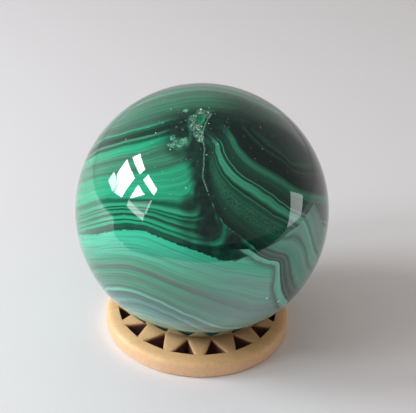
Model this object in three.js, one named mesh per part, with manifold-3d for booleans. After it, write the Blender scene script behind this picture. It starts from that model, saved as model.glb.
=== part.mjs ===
// A polished malachite ball resting on a low turned wooden ring, fretted with a row of triangles.
// Millimetres, +Z up. The origin is the centre of the ring's underside.

import * as THREE from "three";
import { mergeVertices } from "three/addons/utils/BufferGeometryUtils.js";
import Module from "manifold-3d";

// Driving dimensions
const ballDiameter = 52;
const standDiameter = 40;
const standHeight = 4.6; // at the crest, beside the seat
const seatRadius = 10.5; // the circle on which the ball touches its seat
const seatWidth = 1.6; // across the conical seat, seen from above
const seatGap = 0.05; // air left between ball and seat

const rimHeight = 2.6; // top of the upright outer wall
const rimCurveHeight = 3.6; // how high the wall's line runs on before the rim rounds over
const shoulderRadius = 18.3; // where the rounded rim runs into the crown
const shoulderHeight = 3.85;
const crownCurveRadius = 15; // point that draws up the low dome of the crown
const crownCurveHeight = 4.35;
const edgeRound = 0.4; // softened lower edges

const cutoutCount = 16;
const cutoutOuterRadius = 17.2; // arc along each triangle's base
const cutoutTipRadius = 12.6; // the triangle's point, towards the ball
const cutoutHalfAngle = THREE.MathUtils.degToRad(7.95); // half of the base, seen from the axis

// Fineness of the facets
const ballMeridians = 64;
const ballParallels = 32;
const standSegments = 96;
const curveSteps = 4;
const baseArcSteps = 4;
const mergeDistance = 1e-4; // closer points are one point

// Sizes that follow from the ones above
const ballRadius = ballDiameter / 2;
const standRadius = standDiameter / 2;
const centreAboveSeat = Math.sqrt(ballRadius ** 2 - seatRadius ** 2);
const seatSlope = seatRadius / centreAboveSeat; // the ball's own slope where it touches
const boreRadius = seatRadius - seatWidth / 2;
const crestRadius = seatRadius + seatWidth / 2;
const seatHeight = standHeight - (seatSlope * seatWidth) / 2;
const boreHeight = seatHeight - (seatSlope * seatWidth) / 2;
const ballCentreHeight = seatHeight + centreAboveSeat + seatGap;

const wasm = await Module();
wasm.setup();

// A closed three.js geometry as a solid that can be cut.
function toSolid(geometry) {
  const bare = geometry.clone();
  bare.deleteAttribute("normal");
  bare.deleteAttribute("uv");
  const merged = mergeVertices(bare, mergeDistance);
  return new wasm.Manifold(
    new wasm.Mesh({
      numProp: 3,
      vertProperties: new Float32Array(merged.attributes.position.array),
      triVerts: new Uint32Array(merged.index.array),
    }),
  );
}

// A cut solid as a geometry with one flat normal for each facet.
function toGeometry(solid) {
  const { vertProperties, triVerts } = solid.getMesh();
  const indexed = new THREE.BufferGeometry();
  indexed.setAttribute("position", new THREE.BufferAttribute(vertProperties, 3));
  indexed.setIndex(new THREE.BufferAttribute(triVerts, 1));
  const facets = indexed.toNonIndexed();
  facets.computeVertexNormals();
  return facets;
}

// The ring's section, radius across and height up, from the bore's foot round by the rim to the seat.
function standProfile() {
  const section = new THREE.Path();
  section.moveTo(boreRadius, edgeRound);
  section.lineTo(boreRadius + edgeRound, 0);
  section.lineTo(standRadius - edgeRound, 0);
  section.lineTo(standRadius, edgeRound);
  section.lineTo(standRadius, rimHeight);
  section.quadraticCurveTo(standRadius, rimCurveHeight, shoulderRadius, shoulderHeight);
  section.quadraticCurveTo(crownCurveRadius, crownCurveHeight, crestRadius, standHeight);
  section.lineTo(boreRadius, boreHeight);
  section.lineTo(boreRadius, edgeRound);
  return section.getPoints(curveSteps);
}

// One triangle of the fretwork, its base along an arc, its point towards the axis on +X.
function cutoutPrism() {
  const outline = new THREE.Shape();
  outline.absarc(0, 0, cutoutOuterRadius, -cutoutHalfAngle, cutoutHalfAngle);
  outline.lineTo(cutoutTipRadius, 0);
  outline.closePath();
  const overshoot = 1;
  const prism = new THREE.ExtrudeGeometry(outline, {
    depth: standHeight + 2 * overshoot,
    bevelEnabled: false,
    curveSegments: baseArcSteps,
  });
  return prism.translate(0, 0, -overshoot);
}

function fretGeometry() {
  const turned = new THREE.LatheGeometry(standProfile(), standSegments).rotateX(Math.PI / 2);
  let solid = toSolid(turned);
  const pitch = (2 * Math.PI) / cutoutCount;
  for (let i = 0; i < cutoutCount; i++) {
    const angle = (i + 0.5) * pitch; // a strut, not a hole, faces front
    solid = solid.subtract(toSolid(cutoutPrism().rotateZ(angle)));
  }
  return toGeometry(solid);
}

function ball() {
  const geometry = new THREE.SphereGeometry(ballRadius, ballMeridians, ballParallels);
  const malachite = new THREE.MeshStandardMaterial({
    color: 0x1f7a5a,
    roughness: 0.06,
    metalness: 0,
  });
  const mesh = new THREE.Mesh(geometry.rotateX(Math.PI / 2), malachite);
  mesh.name = "malachite_ball";
  mesh.position.z = ballCentreHeight;
  return mesh;
}

function stand() {
  const wood = new THREE.MeshStandardMaterial({
    color: 0xdcb585,
    roughness: 0.6,
    metalness: 0,
  });
  const mesh = new THREE.Mesh(fretGeometry(), wood);
  mesh.name = "ring_stand";
  return mesh;
}

const ornament = new THREE.Group();
ornament.name = "malachite_ball_on_stand";
ornament.add(stand(), ball());

export default ornament;
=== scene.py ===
import math

import bpy
import numpy as np
from mathutils import Matrix, Vector


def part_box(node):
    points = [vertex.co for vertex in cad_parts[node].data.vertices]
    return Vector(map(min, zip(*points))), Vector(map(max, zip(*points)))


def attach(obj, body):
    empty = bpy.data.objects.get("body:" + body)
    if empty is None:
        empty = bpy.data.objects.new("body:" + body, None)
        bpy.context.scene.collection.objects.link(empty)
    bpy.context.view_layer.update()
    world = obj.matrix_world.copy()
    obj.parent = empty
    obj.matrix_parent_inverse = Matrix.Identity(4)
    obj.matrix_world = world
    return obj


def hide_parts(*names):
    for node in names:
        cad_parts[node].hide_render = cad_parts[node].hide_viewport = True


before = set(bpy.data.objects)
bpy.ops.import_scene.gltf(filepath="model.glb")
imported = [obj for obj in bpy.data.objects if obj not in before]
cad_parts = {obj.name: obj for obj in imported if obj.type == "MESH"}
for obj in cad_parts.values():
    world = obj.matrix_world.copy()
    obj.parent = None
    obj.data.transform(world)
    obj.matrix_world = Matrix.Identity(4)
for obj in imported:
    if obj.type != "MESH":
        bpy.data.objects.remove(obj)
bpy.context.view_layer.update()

mm = 0.001
mergeDistance = 0.002 * mm
leastWeight = 0.01  # fainter paint in a vertex group is left out
ballLow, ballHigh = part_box("malachite_ball")
_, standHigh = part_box("ring_stand")
ballCentre = (ballLow + ballHigh) / 2
ballRadius = (ballHigh.z - ballLow.z) / 2


def setMode(mode):
    bpy.ops.object.mode_set(mode=mode)


def clearSelection():
    if bpy.context.object and bpy.context.object.mode != "OBJECT":
        setMode("OBJECT")
    bpy.ops.object.select_all(action="DESELECT")


def selectPiece(piece):
    clearSelection()
    piece.select_set(True)
    bpy.context.view_layer.objects.active = piece


def selectOnly(piece, kind, chosen):
    # edit mode, with just the chosen vertices or faces selected
    setMode("EDIT")
    bpy.ops.mesh.select_mode(type=kind)
    bpy.ops.mesh.select_all(action="DESELECT")
    setMode("OBJECT")
    elements = piece.data.vertices if kind == "VERT" else piece.data.polygons
    elements.foreach_set("select", chosen)
    setMode("EDIT")


def closeSeams():
    bpy.ops.mesh.select_all(action="SELECT")
    bpy.ops.mesh.remove_doubles(threshold=mergeDistance)
    bpy.ops.mesh.normals_make_consistent(inside=False)


def applyModifier(piece, modifier):
    selectPiece(piece)
    bpy.ops.object.modifier_apply(modifier=modifier.name)


def sinkGroup(piece, name, weights, depth, direction="NORMAL"):
    # material taken away where a vertex group is painted, depth in millimetres
    group = piece.vertex_groups.new(name=name)
    for index in np.flatnonzero(weights > leastWeight):
        group.add([int(index)], float(weights[index]), "REPLACE")
    sink = piece.modifiers.new(name, "DISPLACE")
    sink.vertex_group = name
    sink.direction = direction
    sink.mid_level = 0
    sink.strength = -depth * mm
    applyModifier(piece, sink)


def vertexValues(piece, kind):
    values = np.empty(len(piece.data.vertices) * 3)
    piece.data.vertices.foreach_get(kind, values)
    return values.reshape(-1, 3)


def paint(piece, name, values):
    stored = piece.data.attributes.new(name, "FLOAT", "POINT")
    stored.data.foreach_set("value", np.asarray(values, dtype=np.float32))


def smoothStep(values, low, high):
    share = np.clip((values - low) / (high - low), 0, 1)
    return share * share * (3 - 2 * share)


def srgb(red, green, blue):
    # screen colour, 0 to 255, as the linear colour that nodes take
    def linear(value):
        share = value / 255
        return share / 12.92 if share <= 0.04045 else ((share + 0.055) / 1.055) ** 2.4
    return (linear(red), linear(green), linear(blue), 1.0)


# Small helpers for wiring materials. A socket's id_data is the node tree that it belongs to.
def newMaterial(name):
    material = bpy.data.materials.new(name)
    material.use_nodes = True
    return material, material.node_tree, material.node_tree.nodes["Principled BSDF"]


def plainMaterial(name, colour, roughness):
    material, _, shader = newMaterial(name)
    shader.inputs["Base Color"].default_value = colour
    shader.inputs["Roughness"].default_value = roughness
    return material


def wire(tree, kind, sockets, **settings):
    # one node with its settings made and its sockets linked or set
    node = tree.nodes.new("ShaderNode" + kind)
    for key, value in settings.items():
        setattr(node, key, value)
    for key, value in sockets.items():
        if isinstance(value, bpy.types.NodeSocket):
            tree.links.new(value, node.inputs[key])
        else:
            node.inputs[key].default_value = value
    return node


def attribute(tree, name):
    return wire(tree, "Attribute", {}, attribute_name=name).outputs["Fac"]


def calculate(tree, operation, first, second=0.0):
    return wire(tree, "Math", {0: first, 1: second}, operation=operation).outputs[0]


def times(first, second):
    return calculate(first.id_data, "MULTIPLY", first, second)


def larger(first, second):
    return calculate(first.id_data, "MAXIMUM", first, second)


def rise(value, low, high, start=0.0, end=1.0):
    sockets = {"Value": value, "From Min": low, "From Max": high, "To Min": start, "To Max": end}
    return wire(value.id_data, "MapRange", sockets, interpolation_type="SMOOTHSTEP").outputs["Result"]


def within(value, start, full, fade, end, most=1.0):
    # comes in from start to full, and goes out again from fade to end
    return times(rise(value, start, full), rise(value, fade, end, most, 0.0))


def blend(share, first, second):
    return wire(share.id_data, "Mix", {0: share, 6: first, 7: second}, data_type="RGBA").outputs[2]


def shade(colour, factor):
    return wire(colour.id_data, "VectorMath", {0: colour, "Scale": factor}, operation="SCALE").outputs[0]


def stretch(places, scale, turn=0):
    sockets = {"Vector": places, "Rotation": (0, math.radians(turn), 0), "Scale": scale}
    return wire(places.id_data, "Mapping", sockets).outputs[0]


def noise(places, frequency, detail, roughness=0.5):
    sockets = {"Vector": places, "Scale": frequency, "Detail": detail, "Roughness": roughness}
    return wire(places.id_data, "TexNoise", sockets).outputs[0]


def bandColours(depth, stops, tones):
    # colours laid along a depth, stop by stop
    low, high = stops[0][0], stops[-1][0]
    tree = depth.id_data
    share = wire(tree, "MapRange", {"Value": depth, "From Min": low, "From Max": high}).outputs["Result"]
    node = wire(tree, "ValToRGB", {"Fac": share})
    elements = node.color_ramp.elements
    elements.remove(elements[1])
    for index, (place, tone) in enumerate(stops):
        element = elements[0] if index == 0 else elements.new((place - low) / (high - low))
        element.color = tones[tone]
    return node.outputs["Color"]


# Camera: a close look down on the ball, a little rolled
cameraSettings = {
    "azimuth": -3.75,  # degrees, from the front towards the right
    "elevation": 29.26,
    "roll": 3.0,
    "distance": 182 * mm,  # from the ball's centre
    "focalPixels": 879.9,
    "imageSize": (416, 413),
    "ballPixel": (202.2, 209.7),  # where the ball's centre falls in the image
    "sensorWidth": 36.0,
    "clipStart": 5 * mm,
}


def makeCamera():
    s = cameraSettings
    azimuth, elevation, roll = (math.radians(s[key]) for key in ("azimuth", "elevation", "roll"))
    towards = Vector((math.sin(azimuth) * math.cos(elevation),
                      -math.cos(azimuth) * math.cos(elevation), math.sin(elevation)))
    level = Vector((math.cos(azimuth), math.sin(azimuth), 0))
    upright = towards.cross(level)
    right = level * math.cos(roll) + upright * math.sin(roll)
    up = upright * math.cos(roll) - level * math.sin(roll)
    width, height = s["imageSize"]
    perPixel = s["distance"] / s["focalPixels"]
    aside = (s["ballPixel"][0] - width / 2) * perPixel
    below = (s["ballPixel"][1] - height / 2) * perPixel
    eye = ballCentre - right * aside + up * below + towards * s["distance"]
    data = bpy.data.cameras.new("camera")
    data.sensor_width = s["sensorWidth"]
    data.lens = s["focalPixels"] * s["sensorWidth"] / width
    data.clip_start = s["clipStart"]
    camera = bpy.data.objects.new("camera", data)
    bpy.context.scene.collection.objects.link(camera)
    turn = Matrix((right, up, towards)).transposed().to_4x4()
    camera.matrix_world = Matrix.Translation(eye) @ turn
    bpy.context.scene.camera = camera
    print("camera set")
    return eye, right, up, towards


eye, *axes = makeCamera()
viewAxes = np.array(axes)
eyeSeen = viewAxes @ np.array(eye - ballCentre) / mm  # right, up and towards, from the ball's centre


# Ring stand: a loop drawn along the turned section, triangles cut right through. Sizes in millimetres.
standSettings = {
    "seatRadius": 10.5,  # the circle on which the ball touches
    "seatWidth": 1.6,
    "rimHeight": 2.6,  # top of the upright wall
    "rimCurveHeight": 3.6,
    "rimSteps": (0.33, 0.66),  # points along the rounding of the rim
    "shoulder": (18.3, 3.85),  # where the rounded rim runs into the crown
    "crownCurve": (15.0, 4.35),
    "crownSteps": 20,
    "footRound": 0.4,
    "cutoutCount": 16,
    "cutoutOuterRadius": 17.25,
    "cutoutTipRadius": 12.7,
    "cutoutHalfAngle": 7.95,  # degrees
    "subdivisions": 3,
    "strutRound": 0.75,  # struts are rounded over this far in from the triangles
    "strutDrop": 0.15,
    "strutSkin": 0.2,  # how far down from the crown they are rounded
    "strutFade": (-0.2, 0.3),  # where that ends, out from the triangles' bases
    "edgeRound": 0.06,
    "edgeSegments": 2,
    "sharpAngle": 50,  # degrees, edges that stay crisp
    "sawnReach": (0.3, 0.15),  # sawn walls, in from the triangles' points and out from their bases
    "sawnSlope": (0.5, 0.95),  # an upright wall's normal rises less than this
}


def curvePoint(start, control, end, t):
    shares = ((1 - t) ** 2, 2 * t * (1 - t), t ** 2)
    return tuple(float(np.dot(shares, corners)) for corners in zip(start, control, end))


def crownLine(s):
    crest = (s["seatRadius"] + s["seatWidth"] / 2, standHigh.z / mm)
    steps = np.linspace(0, 1, s["crownSteps"] + 1)
    return [curvePoint(crest, s["crownCurve"], s["shoulder"], step) for step in steps]


def crownHeight(s, radius):
    return np.interp(radius, *zip(*crownLine(s)))


def standSection(s):
    # radius and height, from the bore's top out over the crown and back underneath
    outer = standHigh.x / mm
    slope = s["seatRadius"] / math.sqrt((ballRadius / mm) ** 2 - s["seatRadius"] ** 2)
    bore = s["seatRadius"] - s["seatWidth"] / 2
    boreTop = standHigh.z / mm - slope * s["seatWidth"]
    tip, base = s["cutoutTipRadius"], s["cutoutOuterRadius"]
    foot = s["footRound"]
    rim = (outer, s["rimHeight"])
    rounding = [curvePoint(s["shoulder"], (outer, s["rimCurveHeight"]), rim, t) for t in s["rimSteps"]]
    over = [(bore, boreTop), crownLine(s)[0], (tip, crownHeight(s, tip)), (base, crownHeight(s, base))]
    under = [(outer, foot), (outer - foot, 0), (base, 0), (tip, 0), (bore + foot, 0), (bore, foot)]
    return over + [s["shoulder"], *rounding, rim] + under


def turnedRing(s, strut, pitch):
    # with vertices wherever the corners of the triangles will be
    offsets = (-strut, 0, strut, pitch / 2)
    angles = [pitch * index + offset for index in range(s["cutoutCount"]) for offset in offsets]
    section = standSection(s)
    clearSelection()
    bpy.ops.mesh.primitive_circle_add(vertices=len(angles), fill_type="NOTHING")
    stand = bpy.context.object
    stand.name = "ringStand"
    for vertex, angle in zip(stand.data.vertices, angles):
        vertex.co = Vector((math.cos(angle), math.sin(angle), 0)) * section[0][0] * mm
        vertex.co.z = section[0][1] * mm
    setMode("EDIT")
    bpy.ops.mesh.select_all(action="SELECT")
    for (radius, height), (nextRadius, nextHeight) in zip(section, section[1:] + section[:1]):
        bpy.ops.mesh.extrude_region_move()
        grow = nextRadius / radius
        bpy.ops.transform.resize(value=(grow, grow, 1), center_override=(0, 0, 0))
        bpy.ops.transform.translate(value=(0, 0, (nextHeight - height) * mm))
    closeSeams()
    setMode("OBJECT")
    return stand


def cutTriangles(stand, s, strut, pitch):
    # each triangle's point joined to the ends of its base, above and below, and the triangle taken out
    tolerance = 0.01
    places = vertexValues(stand, "co") / mm
    radii = np.hypot(places[:, 0], places[:, 1])
    turns = np.abs(np.arctan2(places[:, 1], places[:, 0]) / pitch % 1 - 0.5)
    middle = turns < tolerance
    side = np.abs(turns - (0.5 - strut / pitch)) < tolerance
    points = (np.abs(radii - s["cutoutTipRadius"]) < tolerance) & middle
    base = np.abs(radii - s["cutoutOuterRadius"]) < tolerance
    selectOnly(stand, "VERT", points | (base & side))
    bpy.ops.mesh.vert_connect()
    setMode("OBJECT")
    corners = points | (base & (side | middle))
    inside = [len(face.vertices) == 3 and all(corners[index] for index in face.vertices)
              for face in stand.data.polygons]
    selectOnly(stand, "FACE", inside)
    bpy.ops.mesh.delete(type="FACE")
    setMode("OBJECT")
    print("triangles cut:", sum(inside))


def drawWalls(stand, s):
    # straight down from the upper triangles to meet the lower ones, with the crisp edges creased
    upper = vertexValues(stand, "co")[:, 2] > standHigh.z / 2
    setMode("EDIT")
    bpy.ops.mesh.select_mode(type="EDGE")
    bpy.ops.mesh.select_all(action="DESELECT")
    bpy.ops.mesh.select_non_manifold()
    setMode("OBJECT")
    for edge in stand.data.edges:
        edge.select = edge.select and all(upper[index] for index in edge.vertices)
    for vertex in stand.data.vertices:
        vertex.select = False
    setMode("EDIT")
    bpy.ops.mesh.extrude_edges_move()
    bpy.ops.transform.resize(value=(1, 1, 0), center_override=(0, 0, 0))
    bpy.ops.mesh.select_mode(type="VERT")
    closeSeams()
    bpy.ops.mesh.select_mode(type="EDGE")
    bpy.ops.mesh.select_all(action="DESELECT")
    bpy.ops.mesh.edges_select_sharp(sharpness=math.radians(s["sharpAngle"]))
    bpy.ops.transform.edge_crease(value=1.0)
    setMode("OBJECT")


def strutRounding(stand, s, pitch):
    # strongest along the slanted sides of the triangles, nothing along their bases
    places = vertexValues(stand, "co") / mm
    radii = np.hypot(places[:, 0], places[:, 1])
    turns = np.abs((np.arctan2(places[:, 1], places[:, 0]) / pitch) % 1 - 0.5) * pitch
    flat = np.column_stack([radii * np.cos(turns), radii * np.sin(turns)])
    half = math.radians(s["cutoutHalfAngle"])
    start = np.array([s["cutoutTipRadius"], 0])
    run = s["cutoutOuterRadius"] * np.array([math.cos(half), math.sin(half)]) - start
    share = np.clip((flat - start) @ run / (run @ run), 0, 1)
    away = np.linalg.norm(flat - start - share[:, None] * run, axis=1)
    upper = places[:, 2] > crownHeight(s, radii) - s["strutSkin"]
    outside = 1 - smoothStep(radii - s["cutoutOuterRadius"], *s["strutFade"])
    return np.clip(1 - away / s["strutRound"], 0, 1) ** 2 * upper * outside


def paintStand(stand, s):
    # the sawn walls of the triangles, and how far down, up and out each place is
    places = vertexValues(stand, "co") / mm
    radii = np.hypot(places[:, 0], places[:, 1])
    upright = 1 - smoothStep(np.abs(vertexValues(stand, "normal")[:, 2]), *s["sawnSlope"])
    inner, outer = s["sawnReach"]
    fretted = (radii > s["cutoutTipRadius"] - inner) & (radii < s["cutoutOuterRadius"] + outer)
    paint(stand, "sawn", upright * fretted)
    paint(stand, "depth", crownHeight(s, radii) - places[:, 2])
    paint(stand, "height", places[:, 2])
    paint(stand, "radius", radii)


def makeStand():
    s = standSettings
    pitch = 2 * math.pi / s["cutoutCount"]
    strut = pitch / 2 - math.radians(s["cutoutHalfAngle"])  # half of a strut, at its wide end
    stand = turnedRing(s, strut, pitch)
    cutTriangles(stand, s, strut, pitch)
    drawWalls(stand, s)
    smooth = stand.modifiers.new("smooth", "SUBSURF")
    smooth.levels = s["subdivisions"]
    applyModifier(stand, smooth)
    sinkGroup(stand, "struts", strutRounding(stand, s, pitch), s["strutDrop"], "Z")
    edges = stand.modifiers.new("edges", "BEVEL")
    edges.width = s["edgeRound"] * mm
    edges.segments = s["edgeSegments"]
    edges.limit_method = "ANGLE"
    edges.angle_limit = math.radians(s["sharpAngle"])
    applyModifier(stand, edges)
    stand.vertex_groups.clear()
    bpy.ops.object.shade_smooth()
    paintStand(stand, s)
    print("ring stand:", len(stand.data.polygons), "faces")
    return stand


woodTones = {
    "pale": srgb(238, 198, 146),
    "honey": srgb(229, 185, 133),
    "wall": srgb(222, 181, 150),
    "streak": srgb(198, 148, 100),
    # painted shade on the wood round the ball
    "paintedSeatShade": srgb(150, 108, 70),
    "sawn": srgb(178, 122, 96),
    # painted shade on the triangles' walls, darker further down
    "sawnShade": srgb(108, 70, 66),
    "deepWallShade": srgb(120, 84, 90),
}


def woodMaterial():
    tones = woodTones
    material, tree, shader = newMaterial("paleWood")
    place = wire(tree, "TexCoord", {}).outputs["Object"]
    grain = noise(stretch(place, (150, 1100, 1100)), 1.0, 4.0, 0.6)
    figure = noise(stretch(place, (25, 160, 160)), 1.0, 2.0)
    pores = noise(place, 1.6 / mm, 3.0)
    wood = blend(rise(figure, 0.35, 0.65), tones["pale"], tones["honey"])
    wall = rise(attribute(tree, "height"), 2.3, 3.3, 0.55, 0.0)
    wood = blend(wall, wood, tones["wall"])
    wood = blend(rise(grain, 0.45, 0.72, 0.0, 0.14), wood, tones["streak"])
    wood = shade(wood, rise(pores, 0.3, 0.7, 0.95, 1.04))
    # painted shade, darker on the wood nearer the ball, where the ball shades it
    paintedSeatShade = rise(attribute(tree, "radius"), 11.8, 15.2, 0.55, 0.0)  # darker round the ball
    wood = blend(paintedSeatShade, wood, tones["paintedSeatShade"])
    depth = attribute(tree, "depth")
    # sawn walls: partly the sawn wood's own browner tone near the top, partly painted shade, darker further
    # down in the triangles
    sawnWallAndShade = blend(rise(depth, 0.4, 1.1), tones["sawn"], tones["sawnShade"])
    sawnWallAndShade = blend(rise(depth, 1.2, 3.0), sawnWallAndShade, tones["deepWallShade"])
    sawn = times(rise(attribute(tree, "sawn"), 0.2, 0.8), rise(depth, 0.2, 0.8))
    tree.links.new(blend(sawn, wood, sawnWallAndShade), shader.inputs["Base Color"])
    tree.links.new(rise(grain, 0.3, 0.7, 0.5, 0.62), shader.inputs["Roughness"])
    bump = wire(tree, "Bump", {"Height": grain, "Strength": 0.12, "Distance": 0.05 * mm})
    tree.links.new(bump.outputs[0], shader.inputs["Normal"])
    return material


ringStand = makeStand()
ringStand.data.materials.append(woodMaterial())
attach(ringStand, "root")
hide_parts("ring_stand")


# Ball: banded stone. Each list of layers gives a depth in the stone, in millimetres, and places on the
# front of the ball that lie at that depth, as millimetres right and up of its middle, seen by the camera.
seamLine = [  # where the upper and the lower stone meet
    (-25.6, -5.3), (-22, -5.2), (-19, -4.5), (-15, -4.2), (-12, -4.4), (-10, -5.2), (-7, -6.5), (-5, -7.2),
    (0, -9.0), (3, -10.2), (6, -10.7),
]
upperLayers = [
    (2.0, [(-18, 18.9), (-10, 23.1), (-5, 24.4), (0, 25.0), (5, 24.4), (10, 22.7), (15, 20.3)]),
    (5.0, [(-17, 17.8), (-10, 20.4), (-5, 21.6), (0, 22.2), (5, 21.8), (10, 20.5), (15, 17.6)]),
    (8.5, [(-22, 13.4), (-20, 14.8), (-15, 16.1), (-10, 17.4), (-6, 18.7)]),
    (10.0, [(-23, 11.6), (-20, 13.5), (-15, 14.8), (-10, 15.9), (-5, 17.2)]),
    (11.0, [(-24, 10.4), (-20, 12.6), (-15, 14.0), (-10, 15.2), (-6, 16.3)]),
    (12.3, [(-24.7, 9.0), (-20, 11.4), (-15, 12.8), (-10, 14.1), (-7, 15.0), (-4, 15.9)]),
    (14.0, [(-13, 11.3), (-7, 13.2), (-3, 14.3)]),
    (17.5, [(-25.5, 5.3), (-20, 7.0), (-10, 8.0), (-4, 9.7), (-1.5, 11)]),
    (20.5, [(-25.8, 2.8), (-20, 4.3), (-10, 5.0), (-3, 6.2), (-1.3, 8)]),
    (22.5, [(-24.2, 1.4), (-22.8, 2.0), (-21, 2.7), (-16.6, 2.9), (-9.4, 2.6), (-7.7, 2.8), (-5.6, 2.7),
        (-3.6, 2.7), (-2.5, 3.3), (-1.8, 5.5)]),
    (23.7, [(-25.8, -0.2), (-24.2, 0.4), (-22.8, 1.0), (-21, 1.6), (-19.5, 1.9), (-16.6, 1.9),
        (-13.5, 1.8), (-10.8, 1.7), (-9.4, 1.5), (-7.7, 1.3), (-5.6, 0.9), (-3.6, 0.55), (-2.5, 0.6),
        (-1.5, 1.4), (-1.0, 4)]),
    (24.5, [(-25.6, -1.0), (-24.2, -0.5), (-22.8, -0.05), (-21, 0.55), (-19.5, 0.95), (-16.6, 1.15),
        (-13.5, 0.9), (-10.8, 0.55), (-9.4, 0.35), (-7.7, -0.05), (-5.6, -0.6), (-3.6, -0.95),
        (-2.5, -1.0), (-1.5, -0.9), (-0.5, -0.2), (0.2, 1.6)]),
    (25.4, [(-24.2, -1.3), (-22.8, -0.8), (-21, -0.25), (-19.5, 0.15), (-16.6, 0.45), (-13.5, 0.25),
        (-10.8, -0.1), (-9.4, -0.45), (-7.7, -0.9), (-5.6, -1.45), (-3.6, -1.9), (-2.5, -2.1),
        (-1.5, -2.1), (-0.5, -1.9), (0.8, -1.2), (1.2, 0.8)]),
    (26.65, [(-25.7, -3.0), (-24.2, -2.55), (-22.8, -2.1), (-21, -1.5), (-19.5, -1.15), (-16.6, -0.9),
        (-13.5, -1.1), (-10.8, -1.6), (-9.4, -2.0), (-7.7, -2.6), (-5.6, -3.35), (-3.6, -4.0),
        (-2.5, -4.2), (-1.5, -4.4), (-0.5, -4.6), (1.0, -4.7), (2.3, -3.8), (2.4, -1.8), (1.6, 0.8)]),
    (28.2, [(-25.6, -4.2), (-24.2, -3.8), (-22.8, -3.5), (-21, -3.05), (-19.5, -2.65), (-16.6, -2.4),
        (-13.5, -2.7), (-10.8, -3.3), (-9.4, -3.8), (-7.7, -4.4), (-5.6, -5.2), (-3.6, -5.85),
        (-2.5, -6.25), (-1.5, -6.5), (-0.5, -6.7), (0.8, -6.9), (2.2, -6.9), (3.8, -6.2), (4.6, -4.4),
        (3.8, -1.8), (2.4, 0.4), (1.0, 3.8)]),
    (30.0, seamLine),
]
rightLayers = [
    (0.0, [(11, 17), (15, 13.5), (18.5, 10)]),
    (2.0, [(9, 16), (10, 14.8), (13, 12), (17, 9.5)]),
    (5.0, [(5.6, 15.5), (6.6, 13.2), (8, 11.4), (10, 9.5), (13, 7.6), (16, 6.0)]),
    (8.0, [(4.0, 14), (4.4, 12.8), (5, 11.2), (6.5, 8.9), (8, 7.3), (10, 5.9), (13, 4.0), (16, 1.7),
        (18, 0.3)]),
    (9.3, [(1.3, 15.4), (2.4, 14.2), (3, 12.3), (4, 10), (5.5, 7.8), (8, 5.8), (11, 3.9), (14, 2.0),
        (17, -0.3)]),
    (10.9, [(2.2, 12), (2.9, 9.6), (4.2, 7.2), (6, 5.0), (8.8, 2.8), (11.7, 0.75), (14.7, -1.3)]),
    (12.4, [(2.6, 8.5), (3.3, 7.0), (5, 4.3), (7.9, 1.5), (10.9, -0.55), (13.9, -2.5)]),
    (15.0, [(2.4, 6), (3.2, 4.4), (5, 1.5), (8, -1.3), (10, -3), (13, -5), (15, -6)]),
    (18.0, [(0.5, 13), (0.4, 9), (0.6, 6), (1.3, 3.7), (2.2, 1), (3.2, -0.8), (5, -3.5), (10, -7.8),
        (12, -9.5)]),
]
lowerLayers = [
    (0.0, seamLine + [(10, -11.2)]),
    (3.6, [(-24.6, -8.1), (-20, -7.9), (-15, -7.8), (-12, -8.4), (-9, -9.4), (-5, -11.2), (0, -12.8),
        (8, -14.5)]),
    (5.5, [(-18, -9.6), (-15, -9.8), (-12, -10.5), (-9, -11.6), (-5, -13.3), (0, -15.0), (8, -17)]),
    (8.0, [(-22.5, -12.3), (-19, -12.1), (-15, -12.3), (-12, -13.2), (-10, -14), (-7, -15.2), (-4, -16.4),
        (0, -18.0), (5, -19.8), (10, -21.4)]),
    (12.3, [(-19.7, -16.2), (-17, -16.2), (-15, -16.6), (-12, -17.6), (-10, -18.5), (-7, -19.9),
        (-4, -21.4), (0, -23), (4, -24.4)]),
    (14.0, [(-16, -18.3), (-13, -18.8), (-10, -19.8), (-6, -21.6), (-3, -23)]),
]
cornerLayers = [
    (-1.4, [(10, -9.6), (12, -10.7), (14, -11.3), (15.1, -11.6), (15.2, -12.4), (15.15, -13.4),
        (14.95, -14.5), (14.7, -15.9), (15, -17.5), (15.5, -18.8)]),
    (0.0, [(10, -8.5), (12, -9.75), (14, -10.6), (15.8, -11), (15.95, -12.3), (16, -13.4), (16.05, -14.5),
        (16.2, -15.9), (16.65, -17.5), (17.5, -18.8)]),
    (1.2, [(12.2, -8.9), (14.5, -9.8), (16.4, -10.2), (16.9, -11.3), (17, -13.5), (17.4, -15.8),
        (18.3, -17.6)]),
    (2.4, [(13, -8), (16, -9), (17.6, -9.7), (18.1, -11.5), (18.5, -13.5), (19.2, -15.8), (20.1, -16.7)]),
    (5.0, [(17, -5), (20, -3.0), (21.2, -5), (22, -7.5), (23.3, -11)]),
    (7.0, [(22.6, -1), (23.6, -5), (24.6, -8.5)]),
]
lowerEdge = [  # height over the lower stone's seam
    (0.0, seamLine + [(8, -10.4), (9.4, -9.4), (9, -7.9), (10, -8.5), (12, -9.75), (14, -10.6),
        (15.6, -11.1)]),
    (2.0, [(-22, -3), (-15, -2.2), (-8, -4.2), (0, -6.7), (5, -8.4), (8, -8)]),
    (-2.0, [(-22, -7.2), (-15, -6.2), (-8, -8), (0, -11), (6, -12.7), (10, -11), (14, -12.7)]),
]

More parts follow.
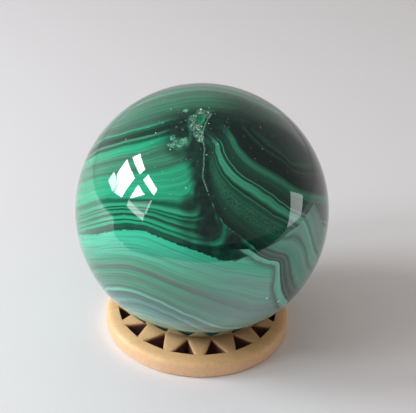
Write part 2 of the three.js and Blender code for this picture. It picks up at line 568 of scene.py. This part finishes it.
# Lines and spots on the ball, seen in the same way
fissureLine = [
    (1.9, 20), (1.2, 18.9), (0.6, 17.8), (0.3, 16.8), (0.0, 16), (-0.3, 15.3), (-0.1, 14.4), (0.3, 13.6),
    (0.5, 12.5), (0.3, 11), (0.3, 9), (0.1, 8), (0.1, 6.5), (0.5, 5.5), (1.1, 3.8), (1.5, 2.6), (2.1, 1.3),
    (2.6, 0.2), (3.4, -1.3), (4.3, -2.6), (6, -4.2), (8.5, -6), (10.5, -7.6), (12, -9.3),
]
ridgeLine = [
    (2.2, 20.5), (0.6, 20.4), (-0.8, 20), (-2.2, 19.2), (-2.7, 18.3), (-2.7, 17.3), (-2.5, 16.3),
    (-2.4, 15.4), (-2.6, 14.5),
]
cornerEdge = [
    (9.5, -8.2), (12, -8.3), (14, -7.6), (16, -6.5), (18, -4.6), (20, -3.3), (22, -0.5), (24, 3),
]
darkSpots = [  # seen place, reach in millimetres, strength
    (-3.5, 16.5, 5.0, 0.9), (1.0, 17.5, 5.5, 0.9), (-4.5, 13, 3.6, 0.7), (-1.0, 12, 4.2, 0.95),
    (-0.6, 9.5, 3.0, 0.95), (-0.3, 7, 2.8, 0.95), (0.0, 4.5, 2.6, 1.0), (0.6, 2, 2.8, 1.0),
    (1.2, -0.5, 3.0, 1.0), (1.4, -3.9, 4.1, 1.0), (-2.4, -3.6, 3.2, 0.5), (-2.2, 1.2, 2.8, 0.8),
    (6.5, -6.4, 3.0, 1.0), (5.7, -4.4, 1.4, 0.85), (4.9, -2.8, 1.0, 0.6), (8.2, -8.4, 2.4, 0.9),
    (4.8, -8.6, 2.0, 0.7), (0.4, -8.3, 2.4, 0.8), (-3.2, -7.4, 1.8, 0.65), (4.2, 17.4, 3.6, 0.9),
    (7.0, 16.6, 3.2, 0.7),
]
rubbleSpots = [  # crumbled, crystal-lined stone beside the fissure's head
    (-1.3, 17.2, 1.7, 0.9), (-0.8, 15.7, 1.3, 1.0), (-1.7, 18.9, 1.4, 0.8), (0.7, 19.7, 1.4, 0.9),
    (-0.3, 20.2, 1.2, 0.8), (-0.4, 14.6, 0.9, 1.0), (-5.0, 13.6, 2.0, 0.42), (-3.6, 14.0, 1.5, 0.42),
]
tealChips = [
    (-3.4, 20.5, 0.6, 1.0), (-6.1, 14.8, 0.65, 1.0), (-3.8, 14.3, 0.8, 0.9), (-4.7, 13.4, 0.75, 0.9),
    (-4.2, 13.9, 0.7, 0.9), (-5.5, 14.1, 0.4, 0.7), (-6.9, 13.4, 0.45, 0.6), (-6.3, 13.2, 0.5, 0.7),
    (-6.0, 13.6, 0.4, 0.6), (-0.7, 15.4, 0.45, 0.8), (-0.4, 15.0, 0.4, 0.8), (-0.5, 14.3, 0.35, 0.8),
    (0.1, 15.1, 0.3, 0.9), (-0.3, 16.2, 0.4, 0.8),
]
whiteGrains = [
    (-0.3, 20.75, 0.32, 1.0), (-2.0, 12.05, 0.14, 0.9), (2.2, 11.1, 0.26, 0.8), (0.9, 11.35, 0.24, 0.5),
    (-3.8, 11.6, 0.22, 0.5), (1.2, 20.2, 0.24, 0.6), (-3.4, 18.5, 0.24, 0.4), (-5.5, 17.1, 0.24, 0.5),
    (-4.3, 18.2, 0.35, 0.3), (-1.1, 17.0, 0.28, 0.4), (-0.1, 17.2, 0.24, 0.5), (-4.0, 16.5, 0.25, 0.4),
    (-5.7, 18.1, 0.25, 0.35), (2.7, 19.8, 0.28, 0.35), (1.8, 16.8, 0.22, 0.35), (2.4, 16.7, 0.22, 0.35),
    (15.7, -19.0, 0.4, 1.0), (13.4, -18.4, 0.35, 1.0), (12.6, 3.1, 0.25, 1.0),
]

stoneTones = {
    "light": srgb(108, 202, 172),
    "mint": srgb(66, 196, 158),
    "fresh": srgb(60, 182, 145),
    "bright": srgb(42, 180, 136),
    "clear": srgb(46, 164, 124),
    "mid": srgb(66, 146, 114),
    "dull": srgb(64, 120, 100),
    "grey": srgb(74, 108, 96),
    "slate": srgb(50, 84, 82),
    "deep": srgb(8, 98, 70),
    "fern": srgb(70, 176, 138),
    "moss": srgb(54, 142, 110),
    "fen": srgb(44, 118, 92),
    "dusk": srgb(32, 72, 60),
    "shade": srgb(26, 88, 69),
    "dark": srgb(14, 60, 48),
    "gloom": srgb(26, 54, 46),
    "night": srgb(13, 42, 37),
    "ash": srgb(70, 116, 109),
    "sage": srgb(102, 170, 155),
    "jade": srgb(72, 158, 136),
    "ink": srgb(28, 58, 60),
    "murkDark": srgb(10, 35, 32),  # unbanded stone
    "murk": srgb(23, 54, 46),
    # painted reflection of the floor, on the lower stone
    "floorReflection": srgb(148, 178, 180),
    # painted reflection, on the corner stone near the right limb
    "limbReflection": srgb(142, 168, 168),
    # painted shade on the ball's underside, low down inside the ring
    "underside": srgb(6, 62, 46),
    "chalkDark": srgb(52, 128, 98),
    "chalk": srgb(128, 184, 156),
    "rubble": srgb(54, 120, 94),
    "crystalDark": srgb(30, 70, 56),
    "crystal": srgb(116, 168, 142),
    "ridge": srgb(52, 146, 108),
    "chipDark": srgb(66, 160, 124),
    "chip": srgb(140, 212, 184),
    "emeraldEdge": srgb(2, 76, 52),
    "emeraldDark": srgb(0, 104, 70),
    "emerald": srgb(22, 150, 106),
    "hollowRim": srgb(88, 138, 114),
    "white": srgb(222, 230, 224),
}

# The tone of each stone from depth to depth
upperStops = [
    (0.0, "dull"), (1.5, "dull"), (1.8, "fern"), (2.05, "clear"), (2.4, "dull"), (3.5, "mid"),
    (4.6, "mid"), (4.8, "dull"), (5.2, "mid"), (6.5, "dull"), (8.0, "dull"), (8.3, "fern"), (8.5, "clear"),
    (8.7, "deep"), (9.1, "deep"), (9.4, "dark"), (10.3, "dark"), (10.5, "mid"), (10.85, "mid"),
    (11.0, "deep"), (11.6, "deep"), (11.85, "bright"), (13.0, "bright"), (13.6, "mid"), (14.6, "dull"),
    (15.4, "mid"), (16.4, "mid"), (17.2, "dull"), (17.7, "clear"), (22.4, "bright"), (22.7, "clear"),
    (23.6, "deep"),
]
bundleStops = [
    (23.2, "deep"), (23.9, "deep"), (24.2, "clear"), (24.35, "mid"), (24.5, "bright"), (24.75, "clear"),
    (24.95, "deep"), (25.15, "deep"), (25.3, "clear"), (25.45, "clear"), (25.55, "deep"), (25.8, "deep"),
    (25.95, "clear"), (26.3, "clear"), (26.45, "shade"), (26.85, "shade"), (27.0, "clear"),
    (27.5, "bright"), (27.7, "deep"), (27.9, "deep"), (28.1, "bright"), (28.4, "bright"), (28.7, "shade"),
    (29.3, "shade"), (30.5, "dark"),
]
rightStops = [
    (0.0, "dark"), (0.6, "shade"), (1.0, "night"), (1.4, "night"), (1.6, "shade"), (1.9, "gloom"),
    (2.2, "night"), (4.1, "night"), (4.7, "moss"), (5.2, "moss"), (5.8, "shade"), (6.5, "shade"),
    (7.0, "dusk"), (7.9, "dusk"), (7.98, "mint"), (8.05, "mint"), (8.15, "dusk"), (8.5, "dusk"),
    (8.8, "fern"), (9.7, "fern"), (10.2, "shade"), (10.55, "dark"), (10.8, "moss"), (11.1, "shade"),
    (11.6, "shade"), (12.0, "fen"), (14.2, "fen"), (15.4, "shade"), (16.4, "dusk"), (18.0, "night"),
]
lowerStops = [
    (-1.0, "mint"), (2.5, "mint"), (2.9, "fresh"), (3.5, "fresh"), (3.62, "mid"), (3.74, "fresh"),
    (4.4, "fresh"), (5.1, "fresh"), (5.2, "mid"), (5.3, "fresh"), (5.8, "clear"), (5.9, "dull"),
    (6.0, "clear"), (6.9, "mid"), (7.5, "grey"), (8.0, "grey"), (8.3, "clear"), (9.0, "mid"),
    (9.7, "dull"), (10.3, "mid"), (11.1, "mid"), (11.8, "grey"), (12.05, "jade"), (12.2, "light"),
    (12.45, "light"), (12.75, "ash"), (13.6, "ash"), (14.0, "sage"), (14.4, "sage"), (14.7, "ash"),
    (15.6, "sage"), (17.0, "sage"),
]
cornerStops = [
    (-1.4, "sage"), (-0.7, "light"), (-0.05, "light"), (0.1, "ink"), (0.5, "ink"), (0.62, "dull"),
    (0.75, "dull"), (0.9, "ink"), (1.45, "slate"), (1.6, "grey"), (2.05, "grey"), (2.2, "ink"),
    (2.5, "dull"), (2.8, "jade"), (3.4, "jade"), (4.1, "sage"), (4.5, "dull"), (4.8, "sage"),
    (5.6, "light"), (5.9, "dull"), (6.4, "sage"), (9.0, "dull"),
]

layerFields = {  # layers, and how they run on behind: change for each millimetre up and right, middle depth
    "upperDepth": (upperLayers, (-0.55, -0.1, 14)),
    "rightDepth": (rightLayers, (-0.5, 0, 8.5)),
    "lowerDepth": (lowerLayers, (-0.9, 0, -5.4)),
    "cornerDepth": (cornerLayers, None),
    "lowerEdge": (lowerEdge, (0.8, 0, 4.8)),
}
spotFields = {"darkness": darkSpots, "rubble": rubbleSpots, "teal": tealChips, "white": whiteGrains}
ballSettings = {
    "subdivisions": 7,
    "detailCuts": 4,  # finer faces round the fissure
    "fissureReach": 1.0,
    "fissureOpen": 15,  # it gapes along this many points of its line
    "fissureDepth": 0.14,
    "fissureWidth": 0.2,
    "fissureMean": 0.6,  # share of its depth, which comes and goes along it
    "fissureWaves": (5.1, 2.3),
    "hollow": (-0.3, 18.8),  # small crystal-lined hollow at the fissure's head
    "hollowSize": (0.86, 1.1),  # half its width and height
    "hollowEdge": (0.45, 1.05),  # where its wall begins and ends, as shares of that
    "hollowDepth": 0.12,
    "rubbleDepth": 0.14,
    "rubbleSeed": 7,
    "spotCore": 0.35,  # share of a spot that has its full strength
    "guideRings": ((0.25, 4), (0.6, 8), (0.88, 12)),  # share of the radius, guide places on the far side
    "guideWave": 1.2,  # how far the layers wave there, and over what length
    "guideWaveLength": 6,
}


def onBall(seen):
    # where the camera's rays through the seen places meet the ball, as right, up, towards in millimetres
    rays = np.column_stack([np.array(seen, float), np.zeros(len(seen))]) - eyeSeen
    along = (rays ** 2).sum(1)
    across = rays @ eyeSeen
    reach = np.maximum(across ** 2 - along * (eyeSeen @ eyeSeen - (ballRadius / mm) ** 2), 0)
    return eyeSeen + rays * ((-across - np.sqrt(reach)) / along)[:, None]


def behindBall(slopeUp, slopeRight, middle):
    # guide places on the far side, so that the layers run on plainly there
    s = ballSettings
    radius = ballRadius / mm
    guides = []
    for ring, count in s["guideRings"]:
        for index in range(count):
            angle = 2 * math.pi * index / count
            x, y = ring * radius * math.cos(angle), ring * radius * math.sin(angle)
            wave = s["guideWave"] * math.sin(x / s["guideWaveLength"])
            depth = middle + slopeUp * y + slopeRight * x + wave
            guides.append(((x, y, -math.sqrt(radius ** 2 - x * x - y * y)), depth))
    return guides


def layerDepths(layers, guides, places):
    # depths spread smoothly over the ball from the places where they are known
    known = [(place, depth) for depth, line in layers for place in onBall(line)] + guides
    knots = np.array([place for place, depth in known])
    depths = np.array([depth for place, depth in known])
    plane = np.column_stack([np.ones(len(knots)), knots])
    spans = np.linalg.norm(knots[:, None] - knots[None], axis=2)
    system = np.block([[spans, plane], [plane.T, np.zeros((4, 4))]])
    weights = np.linalg.lstsq(system, np.concatenate([depths, np.zeros(4)]), rcond=None)[0]
    reach = np.linalg.norm(places[:, None] - knots[None], axis=2)
    return reach @ weights[:-4] + weights[-4] + places @ weights[-3:]


def lineDistance(line, places):
    corners = onBall(line)
    nearest = np.full(len(places), np.inf)
    for start, end in zip(corners, corners[1:]):
        run = end - start
        share = np.clip((places - start) @ run / (run @ run), 0, 1)
        nearest = np.minimum(nearest, np.linalg.norm(places - start - share[:, None] * run, axis=1))
    return nearest


def spotShares(spots, places):
    # how strongly each place lies in the nearest of some soft round spots
    shares = np.zeros(len(places))
    centres = onBall([spot[:2] for spot in spots])
    for centre, (_, _, reach, strength) in zip(centres, spots):
        away = np.linalg.norm(places - centre, axis=1) / reach
        shares = np.maximum(shares, strength * (1 - smoothStep(away, ballSettings["spotCore"], 1.0)))
    return shares


def viewPlaces(ball):
    return vertexValues(ball, "co") @ viewAxes.T / mm


def fineBall(s, head, openLine):
    # a round ball with finer faces where the fissure opens
    clearSelection()
    bpy.ops.mesh.primitive_ico_sphere_add(subdivisions=s["subdivisions"], radius=ballRadius,
                                          location=ballCentre)
    ball = bpy.context.object
    ball.name = "malachiteBall"
    places = viewPlaces(ball)
    near = lineDistance(openLine, places) < s["fissureReach"]
    near |= spotShares(rubbleSpots + tealChips + whiteGrains, places) > 0
    near |= lineDistance(ridgeLine, places) < s["fissureReach"]
    near |= np.linalg.norm(places - head, axis=1) < 2 * max(s["hollowSize"])
    selectOnly(ball, "VERT", near)
    bpy.ops.mesh.subdivide(number_cuts=s["detailCuts"])
    setMode("OBJECT")
    roundAgain = ball.modifiers.new("roundAgain", "CAST")
    roundAgain.factor = 1.0
    roundAgain.radius = 0
    roundAgain.use_radius_as_size = False
    roundAgain.size = ballRadius
    applyModifier(ball, roundAgain)
    return ball


def paintBall(ball, head, openLine):
    places = viewPlaces(ball)
    for name, (layers, beyond) in layerFields.items():
        guides = behindBall(*beyond) if beyond else []
        paint(ball, name, layerDepths(layers, guides, places))
    for name, spots in spotFields.items():
        paint(ball, name, spotShares(spots, places))
    for name, line in (("fissure", openLine), ("vein", fissureLine), ("ridge", ridgeLine)):
        paint(ball, name, lineDistance(line, places))
    fissure = onBall(fissureLine)
    fissureAside = np.interp(-places[:, 1], -fissure[:, 1], fissure[:, 0])
    paint(ball, "rightEdge", places[:, 0] - fissureAside)
    corner = onBall(cornerEdge)
    paint(ball, "cornerEdge", np.interp(places[:, 0], corner[:, 0], corner[:, 1]) - places[:, 1])
    paint(ball, "aside", places[:, 0])
    paint(ball, "head", np.linalg.norm(places - head, axis=1))


def openFissure(ball, s, head, openLine):
    # the hollow at its head, crumbled stone beside it, and a groove of uneven depth
    places = viewPlaces(ball)
    offset = (places - head)[:, :2] / np.array(s["hollowSize"])
    inHollow = (1 - smoothStep(np.hypot(*offset.T), *s["hollowEdge"])) * (places[:, 2] > 0)
    paint(ball, "hollow", inHollow)
    crumbs = np.random.default_rng(s["rubbleSeed"]).random(len(places)) ** 2
    rubble = spotShares(rubbleSpots, places) * crumbs
    away = lineDistance(openLine, places)
    quick, slow = s["fissureWaves"]
    waves = np.sin(places[:, 1] * quick) * np.sin(places[:, 1] * slow + 1)
    wobble = s["fissureMean"] + (1 - s["fissureMean"]) * waves
    groove = np.exp(-(away / s["fissureWidth"]) ** 2) * np.clip(wobble, 0, 1)
    sinkGroup(ball, "hollow", inHollow, s["hollowDepth"])
    sinkGroup(ball, "rubble", rubble, s["rubbleDepth"])
    sinkGroup(ball, "groove", groove, s["fissureDepth"])
    ball.vertex_groups.clear()


def makeBall():
    s = ballSettings
    head = onBall([s["hollow"]])[0]
    openLine = fissureLine[:s["fissureOpen"]]
    ball = fineBall(s, head, openLine)
    paintBall(ball, head, openLine)
    openFissure(ball, s, head, openLine)
    selectPiece(ball)
    bpy.ops.object.transform_apply(location=True, rotation=True, scale=True)
    bpy.ops.object.shade_smooth()
    print("ball:", len(ball.data.polygons), "faces")
    return ball


stoneSettings = {
    "sway": 0.4,  # how far the layers waver, in millimetres
    "swaySize": 0.35,  # wavers to a millimetre
    "fineLayers": 3.2,  # finer layers to a millimetre of depth
    "fineDrift": 0.06,  # how soon they change along their run
    "fineFaint": 0.6,  # brightness of the faintest and strongest of them
    "fineStrong": 1.05,
    "cornerFaint": 0.75,
    "ragged": 0.8,  # how far the seam over the lower stone wanders
    "polished": 0.035,  # roughness
    "crumbled": 0.35,
    "ior": 1.75,
}


def unevenness(places, frequency, reach):
    middled = calculate(places.id_data, "SUBTRACT", noise(places, frequency, 3.0), 0.5)
    return times(middled, reach)


def bandedStone(tree, places):
    # four stones, each with its own bands, that meet along seams
    s = stoneSettings
    tones = stoneTones
    sway = unevenness(places, s["swaySize"], s["sway"])
    slow = shade(places, s["fineDrift"])

    def layer(name, stops, faint=s["fineFaint"]):
        depth = calculate(tree, "ADD", attribute(tree, name), sway)
        run = times(depth, s["fineLayers"])
        sockets = {"Vector": slow, "W": run, "Scale": 1.0, "Detail": 3.0, "Roughness": 0.7}
        fine = wire(tree, "TexNoise", sockets, noise_dimensions="4D").outputs[0]
        colours = bandColours(depth, stops, tones)
        return depth, shade(colours, rise(fine, 0.3, 0.7, faint, s["fineStrong"]))

    upperDepth, upper = layer("upperDepth", upperStops)
    _, bundle = layer("upperDepth", bundleStops)
    rightDepth, right = layer("rightDepth", rightStops)
    lowerDepth, lower = layer("lowerDepth", lowerStops)
    cornerDepth, corner = layer("cornerDepth", cornerStops, s["cornerFaint"])
    aside = attribute(tree, "aside")
    murk = blend(rise(noise(places, 0.9, 4.0), 0.35, 0.7), tones["murkDark"], tones["murk"])

    # upper stone, murky over the top and beside the fissure
    bundle = blend(rise(aside, -24, -17, 0.45, 0.0), bundle, tones["mid"])
    bundled = rise(upperDepth, 23.4, 23.5)
    stone = blend(bundled, upper, bundle)
    stone = shade(stone, rise(upperDepth, 7.5, 9.0, 0.84, 1.0))
    overTop = times(rise(aside, -11, -3), within(upperDepth, 5.0, 8.6, 13, 16, 0.85))
    stone = blend(overTop, stone, murk)
    rightTop = times(rise(aside, 0, 9, 0.0, 0.75), within(upperDepth, 2.0, 3.4, 13, 16))
    stone = blend(rightTop, stone, murk)
    darkness = attribute(tree, "darkness")
    stone = blend(darkness, stone, murk)

    # the stone right of the fissure, speckled between two of its bands
    mottled = within(rightDepth, 11.7, 12.5, 14.2, 15.8)
    speckles = rise(noise(places, 2.6, 2.0), 0.5, 0.62, 0.0, 0.6)
    right = blend(times(mottled, speckles), right, murk)
    rightEdge = attribute(tree, "rightEdge")
    right = blend(times(darkness, rise(rightEdge, 2.5, 7.5, 1.0, 0.0)), right, murk)
    rightShare = times(rise(rightEdge, -0.1, 0.1), rise(upperDepth, 8.6, 10.8))
    stone = blend(rightShare, stone, right)

    # lower stone, below a ragged seam, greyer to the right, with a painted reflection of the floor that is
    # stronger to the right
    ragged = unevenness(places, 1.6, s["ragged"])
    lowerSide = calculate(tree, "ADD", attribute(tree, "lowerEdge"), ragged)
    wide = times(within(lowerDepth, 8.0, 8.4, 9.0, 10.0, 0.7), rise(aside, -6, 4))
    lower = blend(wide, lower, tones["grey"])
    # painted reflection of the floor, paler and stronger to the right
    paintedFloorVeil = times(rise(aside, -10, 12, 0.06, 0.4), rise(lowerDepth, 0.5, 3.5))
    lower = blend(paintedFloorVeil, lower, tones["floorReflection"])
    stone = blend(rise(lowerSide, -0.12, 0.12, 1.0, 0.0), stone, lower)

    # the stone in the lower right corner, with a slaty margin
    cornerSide = rise(attribute(tree, "cornerEdge"), -0.1, 0.1)
    margin = times(cornerSide, within(cornerDepth, -2.6, -1.5, -1.3, -0.9, 0.75))
    stone = blend(margin, stone, tones["slate"])
    # painted reflection of the floor, paler towards the right limb
    corner = blend(rise(aside, 16, 23, 0.0, 0.2), corner, tones["limbReflection"])
    cornerShare = times(cornerSide, within(cornerDepth, -1.5, -1.1, 8.0, 8.8))
    stone = blend(cornerShare, stone, corner)

    height = wire(tree, "SeparateXYZ", {0: places}).outputs["Z"]
    # painted shade: the stone goes darker low on the ball, where the ring and floor shade it
    paintedUnderShade = rise(height, 11.2, 13.0, 0.96, 0.0)
    return blend(paintedUnderShade, stone, tones["underside"])


def fissuredStone(tree, places, stone):
    # crumbled pale stone along the fissure, a hair line further on, crystals and chips beside its head
    tones = stoneTones
    crumble = noise(places, 4.5, 4.0)
    shards = noise(stretch(places, (1.7, 3.6, 6.0), 30), 0.9, 4.0, 0.65)
    rubble = attribute(tree, "rubble")
    stone = blend(rise(rubble, 0.0, 0.6, 0.0, 0.7), stone, tones["rubble"])
    crystals = blend(rise(shards, 0.36, 0.64), tones["crystalDark"], tones["crystal"])
    broken = times(rise(rubble, 0.1, 0.7), rise(noise(places, 1.3, 3.0), 0.38, 0.55))
    stone = blend(times(broken, 0.6), stone, crystals)
    ridge = times(rise(attribute(tree, "ridge"), 0.05, 0.5, 0.6, 0.0), rise(crumble, 0.35, 0.6))
    stone = blend(ridge, stone, tones["ridge"])
    gaping = times(rise(attribute(tree, "fissure"), 0.03, 0.22, 1.0, 0.0), rise(crumble, 0.4, 0.58))
    gaps = rise(noise(places, 0.9, 2.0), 0.35, 0.5)
    hair = times(rise(attribute(tree, "vein"), 0.04, 0.15, 0.7, 0.0), gaps)
    chalk = blend(rise(noise(places, 8.0, 2.0), 0.4, 0.6), tones["chalkDark"], tones["chalk"])
    stone = blend(larger(gaping, hair), stone, chalk)
    chips = times(rise(attribute(tree, "teal"), 0.05, 0.5), rise(shards, 0.44, 0.54))
    teal = blend(rise(crumble, 0.4, 0.65), tones["chipDark"], tones["chip"])
    return blend(chips, stone, teal), larger(gaping, broken)


def hollowStone(tree, places, stone):
    # streaky emerald crystals in the hollow, with a pale rim
    tones = stoneTones
    hollow = attribute(tree, "hollow")
    streaks = noise(stretch(places, (3.5, 1.0, 1.0)), 1.2, 3.0)
    emerald = blend(rise(streaks, 0.4, 0.6), tones["emeraldDark"], tones["emerald"])
    emerald = blend(rise(hollow, 0.3, 0.8, 0.75, 0.0), emerald, tones["emeraldEdge"])
    stone = blend(rise(hollow, 0.08, 0.4), stone, emerald)
    return blend(within(hollow, 0.02, 0.12, 0.15, 0.35, 0.6), stone, tones["hollowRim"])


def grainShares(tree, places):
    # the plain white grains beside the fissure, and stray ones that thin out away from its head
    head = attribute(tree, "head")

    def stray(spacing, size, least, most):
        cells = wire(tree, "TexVoronoi", {"Vector": places, "Scale": 1 / spacing})
        chance = wire(tree, "SeparateColor", {0: cells.outputs["Color"]}).outputs[0]
        dot = rise(cells.outputs["Distance"], size / spacing / 2, size / spacing, 1.0, 0.0)
        rarity = rise(head, 3.0, 22.0, least, most)
        return times(dot, calculate(tree, "GREATER_THAN", chance, rarity))

    grains = larger(stray(1.4, 0.14, 0.8, 0.97), times(stray(0.7, 0.1, 0.55, 0.99), 0.4))
    crumbled = rise(attribute(tree, "rubble"), 0.3, 0.8, 0.0, 0.7)
    grains = larger(grains, times(stray(0.45, 0.2, 0.3, 1.0), crumbled))
    outside = rise(attribute(tree, "hollow"), 0.0, 0.05, 1.0, 0.0)
    plain = rise(attribute(tree, "white"), 0.05, 0.9)
    return larger(times(grains, outside), plain)


def malachiteMaterial():
    s = stoneSettings
    material, tree, shader = newMaterial("malachite")
    places = shade(wire(tree, "TexCoord", {}).outputs["Object"], 1 / mm)
    stone, broken = fissuredStone(tree, places, bandedStone(tree, places))
    stone = hollowStone(tree, places, stone)
    grains = grainShares(tree, places)
    stone = blend(grains, stone, stoneTones["white"])
    roughness = rise(larger(broken, grains), 0.1, 0.8, s["polished"], s["crumbled"])
    tree.links.new(stone, shader.inputs["Base Color"])
    tree.links.new(roughness, shader.inputs["Roughness"])
    shader.inputs["IOR"].default_value = s["ior"]
    return material


malachiteBall = makeBall()
malachiteBall.data.materials.append(malachiteMaterial())
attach(malachiteBall, "root")
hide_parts("malachite_ball")


# Studio: a pale floor, soft light all round, and bright panes for the polished ball to mirror
floorSettings = {
    "size": 2.0,
    "colour": (0.85, 0.845, 0.88, 1),
    "roughness": 0.6,
}


def makeFloor():
    s = floorSettings
    clearSelection()
    bpy.ops.mesh.primitive_plane_add(size=s["size"], location=(0, 0, 0))
    floor = bpy.context.object
    floor.name = "floor"
    floor.data.materials.append(plainMaterial("paleFloor", s["colour"], s["roughness"]))


makeFloor()

shadeSettings = {  # where the floor's bright part ends in front, in reflections alone
    "outline": [(-2000, -200), (-140, -40), (-92, -60), (-62, -124), (10, -132), (120, -127), (2000, -250),
                (2000, -1990), (-2000, -1990)],
    "height": 0.5,
    "colour": (0.03, 0.03, 0.03, 1),
    "roughness": 0.9,
}


def makeShade():
    s = shadeSettings
    clearSelection()
    bpy.ops.mesh.primitive_circle_add(vertices=len(s["outline"]), fill_type="NGON")
    card = bpy.context.object
    card.name = "shade"
    for vertex, (x, y) in zip(card.data.vertices, s["outline"]):
        vertex.co = Vector((x, y, s["height"])) * mm
    card.data.materials.append(plainMaterial("darkCard", s["colour"], s["roughness"]))
    card.visible_camera = False
    card.visible_diffuse = False
    card.visible_shadow = False


makeShade()

lightSettings = {
    "backdropStart": 0.0,  # how far back the bright backdrop begins, as a direction's Y
    "backdropEnd": 0.6,
    "backdropLow": -0.05,  # and how high it is bright, as a direction's Z
    "backdropHigh": 0.95,
    "backdrop": 0.52,
    "backdropRight": 0.27,
    "cornerSlope": 0.8,  # where it turns away on the right, as X to Y of a direction
    "cornerFade": (-0.06, 0.1),
    "overhead": 0.17,
    "ambientLeft": 0.63,  # what reaches dull surfaces from all round
    "ambientRight": 0.31,
    "colourLeft": (0.92, 0.91, 0.91, 1),
    "colourRight": (0.95, 0.79, 0.66, 1),
}


def makeWorld():
    s = lightSettings
    world = bpy.data.worlds.new("studio")
    bpy.context.scene.world = world
    world.use_nodes = True
    tree = world.node_tree
    background = tree.nodes["Background"]
    place = wire(tree, "TexCoord", {}).outputs["Generated"]
    across, back, upward = wire(tree, "SeparateXYZ", {0: place}).outputs
    corner = calculate(tree, "SUBTRACT", across, times(back, s["cornerSlope"]))
    brightness = rise(corner, *s["cornerFade"], s["backdrop"], s["backdropRight"])
    backdrop = times(rise(back, s["backdropStart"], s["backdropEnd"]), brightness)
    backdrop = times(backdrop, rise(upward, s["backdropLow"], s["backdropHigh"], 1.0, 0.0))
    mirrored = calculate(tree, "ADD", backdrop, s["overhead"])
    glossy = wire(tree, "LightPath", {}).outputs["Is Glossy Ray"]
    dull = calculate(tree, "SUBTRACT", 1.0, glossy)
    ambient = rise(across, -1, 1, s["ambientLeft"], s["ambientRight"])
    strength = calculate(tree, "ADD", times(mirrored, glossy), times(dull, ambient))
    tree.links.new(strength, background.inputs["Strength"])
    tint = blend(times(dull, rise(across, -1, 1)), s["colourLeft"], s["colourRight"])
    tree.links.new(tint, background.inputs["Color"])


makeWorld()

paneSettings = {
    "distance": 600 * mm,
    "colour": (0.94, 0.985, 1.0, 1),
    "panes": [  # brightness, and the corners of the pane's reflection in the ball
        (18.5, [(-14.4, 10.8), (-12.8, 11.6), (-11.8, 8.3), (-12.9, 7.3)]),
        (18.5, [(-15.5, 10.4), (-13.9, 6.5), (-16.7, 2.4), (-17.6, 7.3)]),
        (9, [(-18.2, 7.9), (-17.2, 5.4), (-18.5, 3.7), (-19.4, 6.1)]),
        (12, [(-17.4, 5.1), (-16.8, 2.6), (-17.5, 3.1), (-18.2, 3.6)]),
        (18.5, [(-11.1, 7.2), (-9.3, 4.2), (-10, 3), (-12.2, 6.2)]),
        (18.5, [(-13.2, 5.1), (-11.9, 3.1), (-13.5, 2.7), (-15, 2.3)]),
        (5, [(-15.2, 2.1), (-11.9, -1.0), (-12.3, -2.3), (-15.6, 0.7)]),
        (5, [(-10.7, 2.0), (-10.4, 1.8), (-11.6, -0.9), (-11.9, -0.7)]),
        (1.6, [(-14.8, 1.7), (-11.0, 1.7), (-11.9, -0.7), (-12.3, -0.9)]),
        (8, [(-18.5, -2.5), (-18.1, -2.6), (-16.9, -4.7), (-17.4, -4.6)]),
        (2.5, [(18.2, 3.8), (20.8, 3.0), (19.8, -3.4), (17.3, -4.4)]),
    ],
}


def mirroredPlace(hit, distance):
    # where the camera's ray goes after it bounces off the ball at a place
    facing = hit / np.linalg.norm(hit)
    ray = (hit - eyeSeen) / np.linalg.norm(hit - eyeSeen)
    bounced = ray - 2 * (ray @ facing) * facing
    return Vector((hit * mm + bounced * distance) @ viewAxes) + ballCentre


def makePanes():
    s = paneSettings
    for index, (brightness, reflection) in enumerate(s["panes"]):
        clearSelection()
        bpy.ops.mesh.primitive_plane_add(size=1)
        sheet = bpy.context.object
        sheet.name = f"pane{index}"
        first, second, third, fourth = (mirroredPlace(hit, s["distance"]) for hit in onBall(reflection))
        for vertex, corner in zip(sheet.data.vertices, (first, second, fourth, third)):  # row by row
            vertex.co = corner
        glow, tree, _ = newMaterial("daylight")
        light = wire(tree, "Emission", {"Color": s["colour"], "Strength": brightness})
        tree.links.new(light.outputs[0], tree.nodes["Material Output"].inputs["Surface"])
        sheet.data.materials.append(glow)
        sheet.visible_camera = False


makePanes()
bpy.context.scene.view_settings.view_transform = "Standard"
print("floor and light set")
